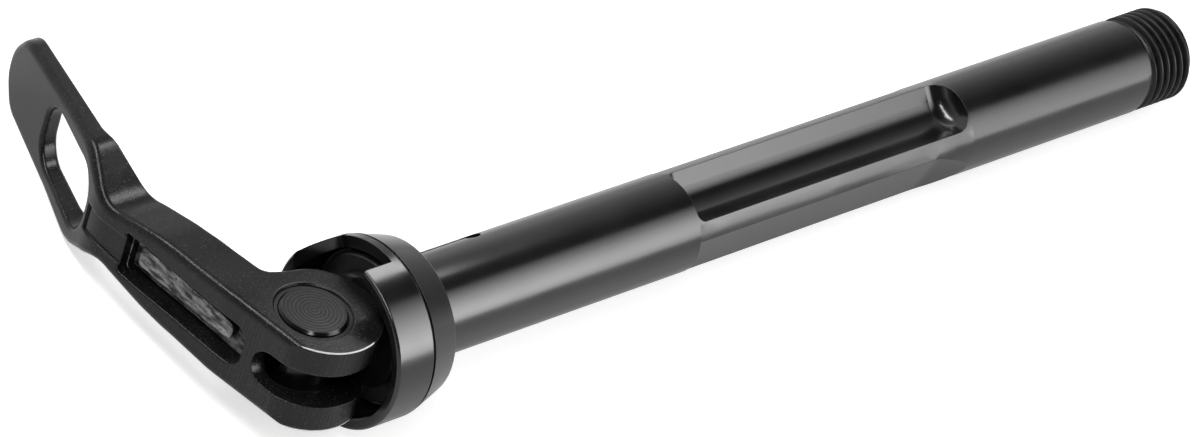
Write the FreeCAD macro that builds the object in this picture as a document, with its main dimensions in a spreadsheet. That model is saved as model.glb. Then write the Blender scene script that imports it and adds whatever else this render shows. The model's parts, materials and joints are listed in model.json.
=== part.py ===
import FreeCAD, Part
import Sketcher
import math
import os

# Bicycle thru axle with a cam lever, drawn closed
# X runs along the tube to the threaded end, Y is the way the lever points, Z is the cross pin
# The origin is on the tube's axis in the face that seats against the fork leg
# Lengths are in millimetres and angles in degrees, counted about X from Y towards Z

SIZES = {
    # Tube
    "tube_length": 158.0,
    "tube_radius": 7.5,
    "thread_length": 9.0,
    "relief_radius": 6.9,
    "rod_bore_radius": 2.65,
    "counterbore_radius": 4.8,
    "counterbore_depth": 22.0,
    "spring_bore_radius": 5.3,
    "spring_bore_end": 30.0,
    # Head
    "seat_radius": 11.75,
    "flange_radius": 13.3,
    "flange_thickness": 5.3,
    "collar_radius": 13.4,
    "collar_length": 12.0,
    "cup_radius": 11.7,
    "cup_floor": 5.6,
    "wedge_seat_mouth": 7.3,
    "wedge_seat_end": 6.0,
    "notch_floor": 6.8,
    "notch_angle": 65.0,
    "notch_step": 6.7,
    "notch_ramp_foot": 4.2,
    "notch_ramp_top": 8.4,
    "slit_angle": 49.0,
    "slit_width": 0.8,
    "keyhole_place": 15.3,
    "keyhole_radius": 1.5,
    # Flutes and flats milled along the tube
    "flute_start": 51.2,
    "flute_end": 108.3,
    "waist_relief": 0.03,
    "flute_angle": 104.0,
    "flute_radius": 4.4,
    "flute_centre": 8.09,
    "flute_slope": 35.25,
    "flat_angle": 196.0,
    "flat_height": 6.34,
    "flat_run_out": 100.6,
    # Cross pin and cams
    "pin_offset": 18.1,
    "pin_radius": 5.0,
    "pin_half_length": 7.4,
    "ear_bore_radius": 5.6,
    "ear_half_width": 7.2,
    "slot_half_width": 2.9,
    "slot_end": 1.3,
    "cam_radius": 8.75,
    "cam_offset": 1.2,
    "cam_phase": 24.0,
    "bush_gap": 0.1,
    # Lever arm, its side view measured from the tube's axis and from the cross pin's plane
    "lever_reach": 67.7,
    "arm_foot": 8.0,
    "arm_foot_out": 27.4,
    "waist_place": 33.3,
    "waist_out": 30.35,
    "blade_bend": 49.5,
    "blade_bend_out": 24.8,
    "inner_foot": 9.6,
    "inner_foot_out": 19.4,
    "arm_middle_place": 20.5,
    "arm_middle_out": 21.2,
    "neck_place": 30.5,
    "neck_out": 22.35,
    "inner_bend": 41.2,
    "inner_bend_out": 24.1,
    "tip_thickness": 2.8,
    "pad_half_width": 9.0,
    "waist_half_width": 4.6,
    "hole_start": 36.4,
    "hole_end": 53.4,
    "hole_half_width": 6.0,
    "recess_start": 3.6,
    "recess_end": 27.4,
    "recess_half_width": 3.5,
    "recess_tip_half_width": 3.2,
    "recess_floor": 23.15,
    "island_top": 24.55,
    "island_half_width": 1.5,
    "island_gap": 3.4,
    "groove_half_width": 2.2,
    "groove_depth": 0.35,
    "outer_edge_radius": 1.2,
    "inner_edge_radius": 0.35,
    "hole_edge_radius": 0.6,
    "recess_edge_radius": 0.3,
    # Follower and wedge
    "follower_radius": 8.3,
    "follower_face": 8.4,
    "trough_radius": 10.3,
    "wedge_flange_radius": 10.8,
    "wedge_flange_back": 7.0,
    "wedge_gap": 0.02,
    "wedge_groove_radius": 5.36,
    "wedge_ring_section": 0.52,
    # Rod and adjuster
    "rod_radius": 2.3,
    "nut_radius": 4.6,
    "spring_stack": 4.4,
    "rod_setback": 4.7,
    "hex_half_width": 2.5,
    "clip_setback": 4.4,
    "clip_thickness": 1.0,
    "clip_gap": 0.4,
}


BLADE_SLOPE = 0.2917
HEEL_ANGLE = 200.0
SHOULDER_ANGLE = 80.0
FACE_TILT = 6.4


class Size:
    # A number that keeps the spreadsheet formula it came from
    def __init__(self, value, text=None):
        self.value = float(value)
        self.text = text or repr(float(value))
        self.bound = text is not None

    def join(self, other, value, sign, swap=False):
        first, second = (other, self) if swap else (self, other)
        result = Size(value, "(%s %s %s)" % (first.text, sign, second.text))
        return result

    def __add__(self, other):
        other = size(other)
        return self.join(other, self.value + other.value, "+")

    def __sub__(self, other):
        other = size(other)
        return self.join(other, self.value - other.value, "-")

    def __mul__(self, other):
        other = size(other)
        return self.join(other, self.value * other.value, "*")

    def __truediv__(self, other):
        other = size(other)
        return self.join(other, self.value / other.value, "/")

    def __neg__(self):
        return Size(0) - self


def size(value):
    return value if isinstance(value, Size) else Size(value)


def get(name):
    return Size(SIZES[name], "Sizes." + name)


def cosine(angle):
    angle = size(angle)
    return Size(math.cos(math.radians(angle.value)), "cos(%s)" % angle.text)


def sine(angle):
    angle = size(angle)
    return Size(math.sin(math.radians(angle.value)), "sin(%s)" % angle.text)


doc = FreeCAD.newDocument("thru_axle")
sheet = doc.addObject("Spreadsheet::Sheet", "Sizes")
for row, (alias, number) in enumerate(SIZES.items(), start=1):
    sheet.set("A%d" % row, alias.replace("_", " "))
    sheet.set("B%d" % row, str(number))
    sheet.setAlias("B%d" % row, alias)
doc.recompute()

nodes = []


# Sketch and feature helpers

def new_body(name):
    body = doc.addObject("PartDesign::Body", name)
    body.Label = name
    nodes.append(body)
    return body


def bind(target, path, value):
    if size(value).bound:
        target.setExpression(path, size(value).text)


def new_sketch(body, name, plane, turn=0, shift=0, tilt=0):
    # turn is about the sketch's own X axis on XY, and about its normal on YZ; shift is along the normal
    sketch = body.newObject("Sketcher::SketchObject", name)
    origin = [item for item in body.Origin.OriginFeatures if item.Role == plane][0]
    sketch.AttachmentSupport = [(origin, "")]
    sketch.MapMode = "FlatFace"
    axis = FreeCAD.Vector(1, 0, 0) if plane == "XY_Plane" else FreeCAD.Vector(0, 0, 1)
    if tilt:
        axis = FreeCAD.Vector(0, 1, 0)
        turn = tilt
    turn, shift = size(turn), size(shift)
    place = FreeCAD.Vector(0, 0, shift.value)
    sketch.AttachmentOffset = FreeCAD.Placement(place, FreeCAD.Rotation(axis, turn.value))
    bind(sketch, ".AttachmentOffset.Rotation.Angle", turn)
    bind(sketch, ".AttachmentOffset.Base.z", shift)
    return sketch


def place_point(sketch, item, end, x, y):
    for kind, value, axis in (("DistanceX", size(x), -2), ("DistanceY", size(y), -1)):
        if value.value == 0 and not value.bound:
            sketch.addConstraint(Sketcher.Constraint("PointOnObject", item, end, axis))
            continue
        number = sketch.addConstraint(Sketcher.Constraint(kind, -1, 1, item, end, value.value))
        bind(sketch, "Constraints[%d]" % number, value)


def corner_arc(before, point, after, radius):
    # Returns where the arc meets each side, its middle, and whether it turns left
    into = (point - before).normalize()
    out = (after - point).normalize()
    bend = into.getAngle(out)
    reach = radius * math.tan(bend / 2)
    start = point - into * reach
    stop = point + out * reach
    left = into.cross(out).z > 0
    side = FreeCAD.Vector(-into.y, into.x, 0) if left else FreeCAD.Vector(into.y, -into.x, 0)
    centre = start + side * radius
    return start, stop, centre, left


def draw_outline(sketch, corners, hub=None):
    # Each corner is x, y and, where it is rounded, a radius; hub is the centre x, centre y and radius
    # of the clockwise arc that closes the outline from its last corner to its first
    flat = [FreeCAD.Vector(size(c[0]).value, size(c[1]).value, 0) for c in corners]
    count = len(corners)
    radii = [size(c[2]) if len(c) > 2 else None for c in corners]
    arcs = {}
    for i in range(count):
        if radii[i]:
            arcs[i] = corner_arc(flat[i - 1], flat[i], flat[(i + 1) % count], radii[i].value)
    lines = []
    for i in range(count - 1 if hub else count):
        j = (i + 1) % count
        start = arcs[i][1] if i in arcs else flat[i]
        stop = arcs[j][0] if j in arcs else flat[j]
        lines.append(sketch.addGeometry(Part.LineSegment(start, stop), False))
    if hub:
        lines.append(draw_hub(sketch, flat[-1], flat[0], *hub))
    for i in range(count):
        before, after = lines[i - 1], lines[i]
        if i not in arcs:
            end = 1 if hub and i == 0 else 2
            start = 2 if hub and i == count - 1 else 1
            sketch.addConstraint(Sketcher.Constraint("Coincident", before, end, after, start))
            place_point(sketch, after, start, corners[i][0], corners[i][1])
            continue
        start, stop, centre, left = arcs[i]
        first = math.atan2(start.y - centre.y, start.x - centre.x)
        last = math.atan2(stop.y - centre.y, stop.x - centre.x)
        circle = Part.Circle(centre, FreeCAD.Vector(0, 0, 1), radii[i].value)
        ends = (first, last) if left else (last, first)
        arc = sketch.addGeometry(Part.ArcOfCircle(circle, *ends), False)
        sketch.addConstraint(Sketcher.Constraint("Tangent", before, 2, arc, 1 if left else 2))
        sketch.addConstraint(Sketcher.Constraint("Tangent", arc, 2 if left else 1, after, 1))
        number = sketch.addConstraint(Sketcher.Constraint("Radius", arc, radii[i].value))
        bind(sketch, "Constraints[%d]" % number, radii[i])
        corner = sketch.addGeometry(Part.Point(flat[i]), True)
        sketch.addConstraint(Sketcher.Constraint("PointOnObject", corner, 1, before))
        sketch.addConstraint(Sketcher.Constraint("PointOnObject", corner, 1, after))
        place_point(sketch, corner, 1, corners[i][0], corners[i][1])


def draw_hub(sketch, start, stop, centre_x, centre_y, radius):
    centre = FreeCAD.Vector(centre_x.value, centre_y.value, 0)
    low = math.atan2(stop.y - centre.y, stop.x - centre.x)
    high = math.atan2(start.y - centre.y, start.x - centre.x)
    circle = Part.Circle(centre, FreeCAD.Vector(0, 0, 1), radius.value)
    arc = sketch.addGeometry(Part.ArcOfCircle(circle, low, high), False)
    number = sketch.addConstraint(Sketcher.Constraint("Radius", arc, radius.value))
    bind(sketch, "Constraints[%d]" % number, radius)
    return arc


def draw_circle(sketch, x, y, radius):
    x, y, radius = size(x), size(y), size(radius)
    circle = Part.Circle(FreeCAD.Vector(x.value, y.value, 0), FreeCAD.Vector(0, 0, 1), radius.value)
    item = sketch.addGeometry(circle, False)
    place_point(sketch, item, 3, x, y)
    number = sketch.addConstraint(Sketcher.Constraint("Radius", item, radius.value))
    bind(sketch, "Constraints[%d]" % number, radius)


def lathe(body, name, corners):
    # Turns an outline of x and radius about the tube's axis
    sketch = new_sketch(body, name + "_section", "XY_Plane")
    draw_outline(sketch, corners)
    turned = body.newObject("PartDesign::Revolution", name)
    turned.Profile = sketch
    turned.ReferenceAxis = (sketch, ["H_Axis"])
    turned.Angle = 360
    doc.recompute()
    return turned


def extrude(body, kind, name, sketch, length=None, both=False, backwards=False):
    feature = body.newObject("PartDesign::" + kind, name)
    feature.Profile = sketch
    if length is None:
        feature.Type = "ThroughAll"
    else:
        feature.Length = size(length).value
        bind(feature, "Length", length)
    feature.Midplane = both
    feature.Reversed = backwards
    volume = 0 if body.Shape.isNull() else body.Shape.Volume
    doc.recompute()
    if "Invalid" in feature.State or feature.Shape.isNull():
        raise RuntimeError(name + " fails")
    if kind == "Pocket" and body.Shape.Volume > volume - 1e-3:
        raise RuntimeError(name + " cuts nothing")
    return feature


def pick_edges(feature, wanted):
    # Names the edges whose middle point satisfies the rule
    names = []
    for number, edge in enumerate(feature.Shape.Edges, start=1):
        middle = edge.valueAt((edge.FirstParameter + edge.LastParameter) / 2)
        if wanted(middle, edge):
            names.append("Edge%d" % number)
    return names


def apply_rounding(body, name, edges, radius, kind):
    if not edges:
        raise RuntimeError(name + " finds no edge")
    base = body.Tip
    feature = body.newObject("PartDesign::" + kind, name)
    feature.Base = (base, edges)
    amount = "Radius" if kind == "Fillet" else "Size"
    setattr(feature, amount, size(radius).value)
    bind(feature, amount, radius)
    doc.recompute()
    if "Invalid" in feature.State or feature.Shape.isNull():
        raise RuntimeError(name + " fails")
    return feature


def round_edges(body, name, wanted, radius, kind="Fillet"):
    return apply_rounding(body, name, pick_edges(body.Tip, wanted), radius, kind)


# Places along the tube that several pieces share

def shoulder_place():
    return get("tube_length") - get("counterbore_depth")


def clip_place():
    return get("tube_length") - get("clip_setback")


def nut_start():
    return shoulder_place() + get("spring_stack")


def nut_end():
    return clip_place() - get("clip_gap")


def rod_end():
    return nut_end() - get("rod_setback")


# Tube, flange and collar in one piece

def make_axle_shaft():
    body = new_body("axle_shaft")
    length, tube = get("tube_length"), get("tube_radius")
    collar, cup = get("collar_radius"), get("cup_radius")
    front, floor, flange = -get("collar_length"), -get("cup_floor"), -get("flange_thickness")
    bore, counterbore = get("rod_bore_radius"), get("counterbore_radius")
    thread, spring = length - get("thread_length"), get("spring_bore_radius")
    groove, groove_end = clip_place(), clip_place() + get("clip_thickness")
    flutes, flutes_end = get("flute_start"), get("flute_end")
    lathe(body, "turning", [
        (front, cup + 0.25),
        (front, collar, 0.5),
        (flange - 0.3, collar),
        (flange - 0.2, collar - 0.4),
        (flange + 0.1, collar - 0.4),
        (flange + 0.2, get("flange_radius")),
        (0, get("seat_radius"), 0.3),
        (0, tube),
        (flutes, tube),
        ((flutes + flutes_end) * 0.5, tube - get("waist_relief")),
        (flutes_end, tube),
        (thread - 1.4, tube),
        (thread - 1.0, get("relief_radius")),
        (thread - 0.3, get("relief_radius")),
        (thread + 0.3, tube - 0.05),
        (length - 0.8, tube - 0.05),
        (length, tube - 0.85),
        (length, counterbore + 0.3),
        (length - 0.3, counterbore),
        (groove_end, counterbore),
        (groove_end, counterbore + 0.5),
        (groove, counterbore + 0.5),
        (groove, counterbore),
        (shoulder_place(), counterbore),
        (shoulder_place(), bore),
        (get("spring_bore_end"), bore),
        (get("spring_bore_end"), spring),
        (get("wedge_seat_end"), spring),
        (floor + 0.8, get("wedge_seat_mouth")),
        (floor, get("wedge_seat_mouth")),
        (floor, cup, 0.5),
        (front + 0.25, cup),
    ])
    cut_notch(body)
    cut_slit(body)
    for number, half in enumerate((0, 180), start=1):
        cut_flute(body, "flute_%d" % number, get("flute_angle") + half)
        cut_flat(body, "flat_%d" % number, get("flat_angle") - half)
    return body


def cut_notch(body):
    # The open lever lies in this gap of the collar, which has a square step and a ramp
    sketch = new_sketch(body, "notch_outline", "XY_Plane", turn=get("notch_angle") - 90)
    floor, front = -get("notch_floor"), -get("collar_length")
    step, foot, top = get("notch_step"), get("notch_ramp_foot"), get("notch_ramp_top")
    draw_outline(sketch, [
        (front - 1, -step),
        (floor, -step, 0.4),
        (floor, foot, 2.0),
        (front, top),
        (front - 1, top),
    ])
    extrude(body, "Pocket", "notch", sketch, 20, backwards=True)


def cut_slit(body):
    # One slit lets the wedge spread the head, and ends in a round hole
    angle = get("slit_angle") - 90
    sketch = new_sketch(body, "slit_outline", "XY_Plane", turn=angle)
    side, end = get("slit_width") * 0.5, get("keyhole_place")
    front = -get("collar_length") - 1
    draw_outline(sketch, [(front, -side), (end, -side), (end, side), (front, side)])
    extrude(body, "Pocket", "slit", sketch, 20, backwards=True)
    hole = new_sketch(body, "keyhole_outline", "XY_Plane", turn=angle)
    draw_circle(hole, end, 0, get("keyhole_radius"))
    extrude(body, "Pocket", "keyhole", hole, 20, backwards=True)


def cut_flute(body, name, angle):
    sketch = new_sketch(body, name + "_section", "YZ_Plane", turn=angle, shift=get("flute_start"))
    slope, radius, centre = get("flute_slope"), get("flute_radius"), get("flute_centre")
    # The walls meet in a sharp corner which the valley's radius rounds
    depth = centre - radius * cosine(slope) - radius * sine(slope) * sine(slope) * (1 / math.cos(
        math.radians(SIZES["flute_slope"])))
    rim = get("tube_radius") + 2.5
    spread = (rim - depth) * (1 / math.tan(math.radians(SIZES["flute_slope"])))
    draw_outline(sketch, [(depth, 0.0, radius), (rim, spread), (rim, -spread)])
    long = get("flute_end") - get("flute_start")
    extrude(body, "Pocket", name, sketch, long, backwards=True)
    turned = FreeCAD.Rotation(FreeCAD.Vector(1, 0, 0), -angle.value)
    for end, rounding in (("flute_start", 1.5), ("flute_end", 3.0)):
        def on_end_wall(middle, edge, end=end):
            local = turned.multVec(middle)
            inside = math.hypot(local.y, local.z) < SIZES["tube_radius"] - 0.02
            return abs(middle.x - SIZES[end]) < 0.01 and inside and local.y > 2
        round_edges(body, name + "_" + end[6:], on_end_wall, rounding)


def cut_flat(body, name, angle):
    sketch = new_sketch(body, name + "_outline", "XY_Plane", turn=angle)
    height, run_out, end = get("flat_height"), get("flat_run_out"), get("flute_end")
    rise = get("tube_radius") - height
    over = get("tube_radius") + 1.5
    draw_outline(sketch, [
        (get("flute_start"), height),
        (run_out, height, 10.0),
        (end, height + rise),
        (end, over),
        (get("flute_start"), over),
    ])
    extrude(body, "Pocket", name, sketch, 16, both=True)


# Lever with its two cam ears

def lever_faces():
    # Corners of the outer face, from the ears to the tip, and of the inner face, from the tip back
    tip = get("lever_reach") + 1
    bend, inner_bend = get("blade_bend"), get("inner_bend")
    tip_out = -get("blade_bend_out") + (tip - bend) * BLADE_SLOPE
    outer = [
        (-get("arm_foot_out"), get("arm_foot"), 14.0),
        (-get("waist_out"), get("waist_place"), 9.0),
        (-get("blade_bend_out"), bend, 60.0),
        (tip_out, tip),
    ]
    inner = [
        (tip_out + get("tip_thickness"), tip),
        (-get("inner_bend_out"), inner_bend, 7.0),
        (-get("neck_out"), get("neck_place"), 14.0),
        (-get("arm_middle_out"), get("arm_middle_place"), 30.0),
        (-get("inner_foot_out"), get("inner_foot"), 2.2),
    ]
    return outer, inner


def make_lever():
    body = new_body("lever")
    pin = -get("pin_offset")
    cam_x = pin + get("cam_offset") * cosine(get("cam_phase"))
    cam_y = -get("cam_offset") * sine(get("cam_phase"))
    cam = (cam_x, cam_y, get("cam_radius"))
    heel, shoulder = [
        (cam_x + cam[2] * cosine(angle), cam_y + cam[2] * sine(angle))
        for angle in (HEEL_ANGLE, SHOULDER_ANGLE)
    ]
    outer, inner = lever_faces()
    side = new_sketch(body, "side_view", "XY_Plane")
    draw_outline(side, [heel] + outer + inner + [shoulder], hub=cam)
    extrude(body, "Pad", "arm", side, get("pad_half_width") * 2 + 1, both=True)
    trim_lever(body)
    bore = new_sketch(body, "ear_bore_outline", "XY_Plane")
    draw_circle(bore, pin, 0, get("ear_bore_radius"))
    extrude(body, "Pocket", "ear_bore", bore, 30, both=True)
    cut_fork(body)
    cut_finger_hole(body)
    cut_neck_groove(body)
    cut_recess(body)
    soften_lever(body)
    return body


def trim_lever(body):
    # Everything outside the plan outline is milled away
    ear, waist, pad = get("ear_half_width"), get("waist_half_width"), get("pad_half_width")
    reach = get("lever_reach")
    half = [
        (-14.0, ear),
        (7.0, ear, 20.0),
        (17.5, ear - 0.75, 25.0),
        (30.3, waist - 0.15, 6.5),
        (35.2, waist + 1.6, 12.0),
        (40.5, pad + 0.1, 4.5),
        (reach - 3.2, pad - 2.25, 4.5),
        (reach, 2.4, 6.0),
    ]
    for name, sign in (("upper_side", 1), ("lower_side", -1)):
        sketch = new_sketch(body, name + "_outline", "YZ_Plane", shift=-35)
        run = [(c[0], size(c[1]) * sign) + tuple(c[2:]) for c in half]
        run.append((reach, 0))
        run.append((reach + 5, 0))
        run.append((reach + 5, 14.0 * sign))
        run.append((-14.0, 14.0 * sign))
        draw_outline(sketch, run)
        extrude(body, "Pocket", name, sketch, 40, backwards=True)


def cut_fork(body):
    # The slot between the ears is open below and in front, so the rod clears it at every angle
    gap, end = get("slot_half_width"), get("slot_end")
    through = new_sketch(body, "fork_outline", "YZ_Plane", shift=-35)
    draw_outline(through, [(-14.0, -gap), (end, -gap, gap - 0.1), (end, gap, gap - 0.1), (-14.0, gap)])
    extrude(body, "Pocket", "fork_slot", through, 40, backwards=True)
    front = new_sketch(body, "rod_way_outline", "YZ_Plane", shift=-get("pin_offset"))
    draw_outline(front, [(-14.0, -gap), (3.1, -gap), (3.1, gap), (-14.0, gap)])
    extrude(body, "Pocket", "rod_way", front, 20, backwards=True)


def cut_finger_hole(body):
    start, end, wide = get("hole_start"), get("hole_end"), get("hole_half_width")
    sketch = new_sketch(body, "hole_outline", "YZ_Plane", shift=-35)
    draw_outline(sketch, [
        (start, -wide, 4.8),
        (start, wide, 4.8),
        (end, wide - 0.7, 4.0),
        (end, -wide + 0.7, 4.0),
    ])
    extrude(body, "Pocket", "finger_hole", sketch, 40, backwards=True)


def cut_neck_groove(body):
    # A shallow groove runs along the outer face from the finger hole into the recess
    deep, before = get("groove_depth"), get("recess_end") - 1
    foot, waist, bend = lever_faces()[0][:3]
    start = place_on_run(foot, waist, before)
    end = place_on_run(waist, bend, get("hole_start") - 1)
    sketch = new_sketch(body, "neck_groove_side", "XY_Plane")
    draw_outline(sketch, [
        (start + deep, before),
        (waist[0] + deep, waist[1], waist[2]),
        (end + deep, get("hole_start") - 1),
        (waist[0] - 2, get("hole_start") - 1),
        (waist[0] - 2, before),
    ])
    extrude(body, "Pocket", "neck_groove", sketch, get("groove_half_width") * 2, both=True)


def place_on_run(low, high, y):
    # X at the height y on the straight run between two corners of the side view
    return low[0] + (high[0] - low[0]) * (y - low[1]) / (high[1] - low[1])


def recess_plan(sketch):
    start, end = get("recess_start"), get("recess_end")
    wide, tip = get("recess_half_width"), get("recess_tip_half_width")
    draw_outline(sketch, [
        (start, -wide, 2.2),
        (start, wide, 2.2),
        (end, tip, 0.6),
        (end, -tip, 0.6),
    ])


def cut_recess(body):
    # The long recess in the outer face holds a lower island, and its floors follow the face
    top = new_sketch(body, "recess_outline", "YZ_Plane", shift=-get("island_top"), tilt=FACE_TILT)
    recess_plan(top)
    extrude(body, "Pocket", "recess", top, 10)
    moat = new_sketch(body, "moat_outline", "YZ_Plane", shift=-get("recess_floor"), tilt=FACE_TILT)
    recess_plan(moat)
    wide, gap = get("island_half_width"), get("island_gap")
    start, end = get("recess_start") + gap, get("recess_end") - gap * 0.5
    draw_outline(moat, [
        (start, -wide, 1.2),
        (start, wide, 1.2),
        (end, wide, 0.5),
        (end, -wide, 0.5),
    ])
    extrude(body, "Pocket", "moat", moat, 10)


def runs_along_x(face):
    # True where a face's normal never leans along X, as on the walls that the plan outlines leave
    low_u, high_u, low_v, high_v = face.ParameterRange
    for part_u in (0.1, 0.5, 0.9):
        for part_v in (0.1, 0.5, 0.9):
            u = low_u + (high_u - low_u) * part_u
            v = low_v + (high_v - low_v) * part_v
            if abs(face.normalAt(u, v).x) > 0.02:
                return False
    return True


def wall_edges(shape):
    # Gives the edges where a wall meets a broad face, by their number and middle point
    sides = {}
    for face in shape.Faces:
        for edge in face.Edges:
            sides.setdefault(edge.hashCode(), []).append(runs_along_x(face))
    found = []
    for number, edge in enumerate(shape.Edges, start=1):
        if sorted(sides.get(edge.hashCode(), [])) == [False, True]:
            middle = edge.valueAt((edge.FirstParameter + edge.LastParameter) / 2)
            found.append(("Edge%d" % number, middle))
    return found


def side_line(corners, y):
    # X of a face of the side view at the height y, along its straight runs
    for (x_low, y_low), (x_high, y_high) in zip(corners, corners[1:]):
        if y <= y_high:
            break
    return x_low + (x_high - x_low) * (y - y_low) / (y_high - y_low)


def soften_lever(body):
    pin, ear = -SIZES["pin_offset"], SIZES["ear_half_width"]
    foot = SIZES["arm_foot"]
    faces = lever_faces()
    outer = [(corner[0].value, corner[1].value) for corner in faces[0]]
    inner = [(corner[0].value, corner[1].value) for corner in reversed(faces[1])]

    def arm_middle(y):
        return (side_line(outer, y) + side_line(inner, y)) / 2

    def on_bore_mouth(middle, edge):
        on_circle = abs(math.hypot(middle.x - pin, middle.y) - SIZES["ear_bore_radius"]) < 0.01
        return on_circle and abs(abs(middle.z) - ear) < 0.01

    def in_hole(point):
        along = SIZES["hole_start"] - 0.2 < point.y < SIZES["hole_end"] + 0.2
        return along and abs(point.z) < SIZES["hole_half_width"] + 0.1

    def in_recess(point):
        along = SIZES["recess_start"] - 0.4 < point.y < SIZES["recess_end"] + 0.4
        return along and abs(point.z) < SIZES["recess_half_width"] + 0.1

    def on_rim(point):
        return abs(point.z) > SIZES["slot_half_width"] + 0.1 and not in_hole(point) and not in_recess(point)

    def on_outer_rim(point):
        return on_rim(point) and point.y > foot and point.x < arm_middle(point.y)

    def on_inner_rim(point):
        return on_rim(point) and point.y > foot + 5 and point.x > arm_middle(point.y)

    def on_recess_mouth(point):
        between = side_line(outer, point.y) + 1.2
        return in_recess(point) and point.x < between

    round_edges(body, "bore_mouth", on_bore_mouth, 0.3, "Chamfer")
    for name, rule, radius in (
        ("outer_rim", on_outer_rim, get("outer_edge_radius")),
        ("inner_rim", on_inner_rim, get("inner_edge_radius")),
        ("hole_rim", in_hole, get("hole_edge_radius")),
        ("recess_mouth", on_recess_mouth, get("recess_edge_radius")),
    ):
        chosen = [edge for edge, middle in wall_edges(body.Tip.Shape) if rule(middle)]
        apply_rounding(body, name, chosen, radius, "Fillet")


# Pieces on the cross pin

def make_pivot_barrel():
    body = new_body("pivot_barrel")
    sketch = new_sketch(body, "barrel_outline", "XY_Plane")
    draw_circle(sketch, -get("pin_offset"), 0, get("pin_radius"))
    extrude(body, "Pad", "barrel", sketch, get("pin_half_length") * 2, both=True)

    def on_rim(middle, edge):
        return abs(abs(middle.z) - SIZES["pin_half_length"]) < 0.01

    round_edges(body, "rim", on_rim, 0.4, "Chamfer")
    hole = new_sketch(body, "cross_hole_outline", "YZ_Plane", shift=-30)
    draw_circle(hole, 0, 0, get("rod_radius") + get("wedge_gap"))
    extrude(body, "Pocket", "cross_hole", hole, 30, backwards=True)
    return body


def make_ear_bush(name, low, high):
    body = new_body(name)
    sketch = new_sketch(body, name + "_ring", "XY_Plane", shift=low)
    draw_circle(sketch, -get("pin_offset"), 0, get("ear_bore_radius"))
    draw_circle(sketch, -get("pin_offset"), 0, get("pin_radius") + get("bush_gap"))
    extrude(body, "Pad", name + "_wall", sketch, high - low)
    return body


def make_draw_rod():
    body = new_body("draw_rod")
    start, end, radius = -get("pin_offset") - 2.2, rod_end(), get("rod_radius")
    lathe(body, "rod", [
        (start, 0),
        (start, radius - 0.4),
        (start + 0.4, radius),
        (end - 0.5, radius),
        (end, radius - 0.5),
        (end, 0),
    ])
    return body


def make_rod_lock_screw():
    body = new_body("rod_lock_screw")
    tip = -get("pin_offset") - 2.2
    lathe(body, "screw", [
        (tip - 2.4, 0),
        (tip - 2.4, get("rod_radius") - 0.3),
        (tip - 2.1, get("rod_radius")),
        (tip, get("rod_radius")),
        (tip, 0),
    ])
    cut_hexagon(body, "screw_socket", tip - 2.4, 1.0, 1.4, True)
    return body


def cut_hexagon(body, name, face, half_width, depth, forwards):
    sketch = new_sketch(body, name + "_outline", "YZ_Plane", shift=face)
    half_width = size(half_width)
    corner = half_width * (2 / math.sqrt(3))
    side = half_width * (1 / math.sqrt(3))
    draw_outline(sketch, [
        (corner, 0),
        (side, half_width),
        (-side, half_width),
        (-corner, 0),
        (-side, -half_width),
        (side, -half_width),
    ])
    extrude(body, "Pocket", name, sketch, depth, backwards=forwards)


# Follower and wedge inside the head

def make_cam_follower():
    body = new_body("cam_follower")
    face, back = -get("follower_face"), -get("wedge_flange_back")
    bore = get("rod_radius") + 0.4
    rim = get("follower_radius")
    lathe(body, "disc", [
        (face, bore + 0.2),
        (face, rim - 0.35),
        (face + 0.35, rim),
        (back, rim),
        (back, bore),
        (face + 0.2, bore),
    ])
    trough = new_sketch(body, "trough_outline", "XY_Plane")
    draw_circle(trough, -get("pin_offset"), 0, get("trough_radius"))
    extrude(body, "Pocket", "trough", trough, 30, both=True)
    return body


def make_expander_wedge():
    body = new_body("expander_wedge")
    back, gap = -get("wedge_flange_back"), get("wedge_gap")
    mouth, narrow = get("wedge_seat_mouth"), get("spring_bore_radius")
    floor, end = -get("cup_floor"), get("wedge_seat_end")
    ring = get("wedge_flange_radius")
    bore = get("rod_radius") + 0.4
    # The cone follows the seat in the shaft: its groove's place is measured down the cone
    fall = (mouth - narrow) * (1 / (SIZES["wedge_seat_end"] + SIZES["cup_floor"] - 0.8))
    groove_near, groove_far = mouth - fall * 3.8, mouth - fall * 5.3
    lathe(body, "wedge", [
        (back, bore),
        (back, ring, 0.3),
        (floor - 0.3, ring),
        (floor - 0.3, mouth - gap),
        (floor + 0.8, mouth - gap),
        (floor + 4.6, groove_near - gap),
        (floor + 4.6, get("wedge_groove_radius")),
        (floor + 6.1, get("wedge_groove_radius")),
        (floor + 6.1, groove_far - gap),
        (end - 0.6, narrow),
        (end - 0.6, bore),
    ])
    return body


def make_ring(name, place, centre, section):
    # A rubber ring: a circle turned about the tube's axis
    body = new_body(name)
    sketch = new_sketch(body, name + "_section", "XY_Plane")
    draw_circle(sketch, place, centre, section)
    turned = body.newObject("PartDesign::Revolution", name + "_turning")
    turned.Profile = sketch
    turned.ReferenceAxis = (sketch, ["H_Axis"])
    turned.Angle = 360
    doc.recompute()
    return body


def make_washer(name, start, thickness, inner, outer, cone=0):
    # cone is how far the inner edge stands behind the outer one
    body = new_body(name)
    start = size(start)
    lathe(body, name + "_turning", [
        (start + cone, inner),
        (start, outer),
        (start + thickness, outer),
        (start + thickness + cone, inner),
    ])
    return body


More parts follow.
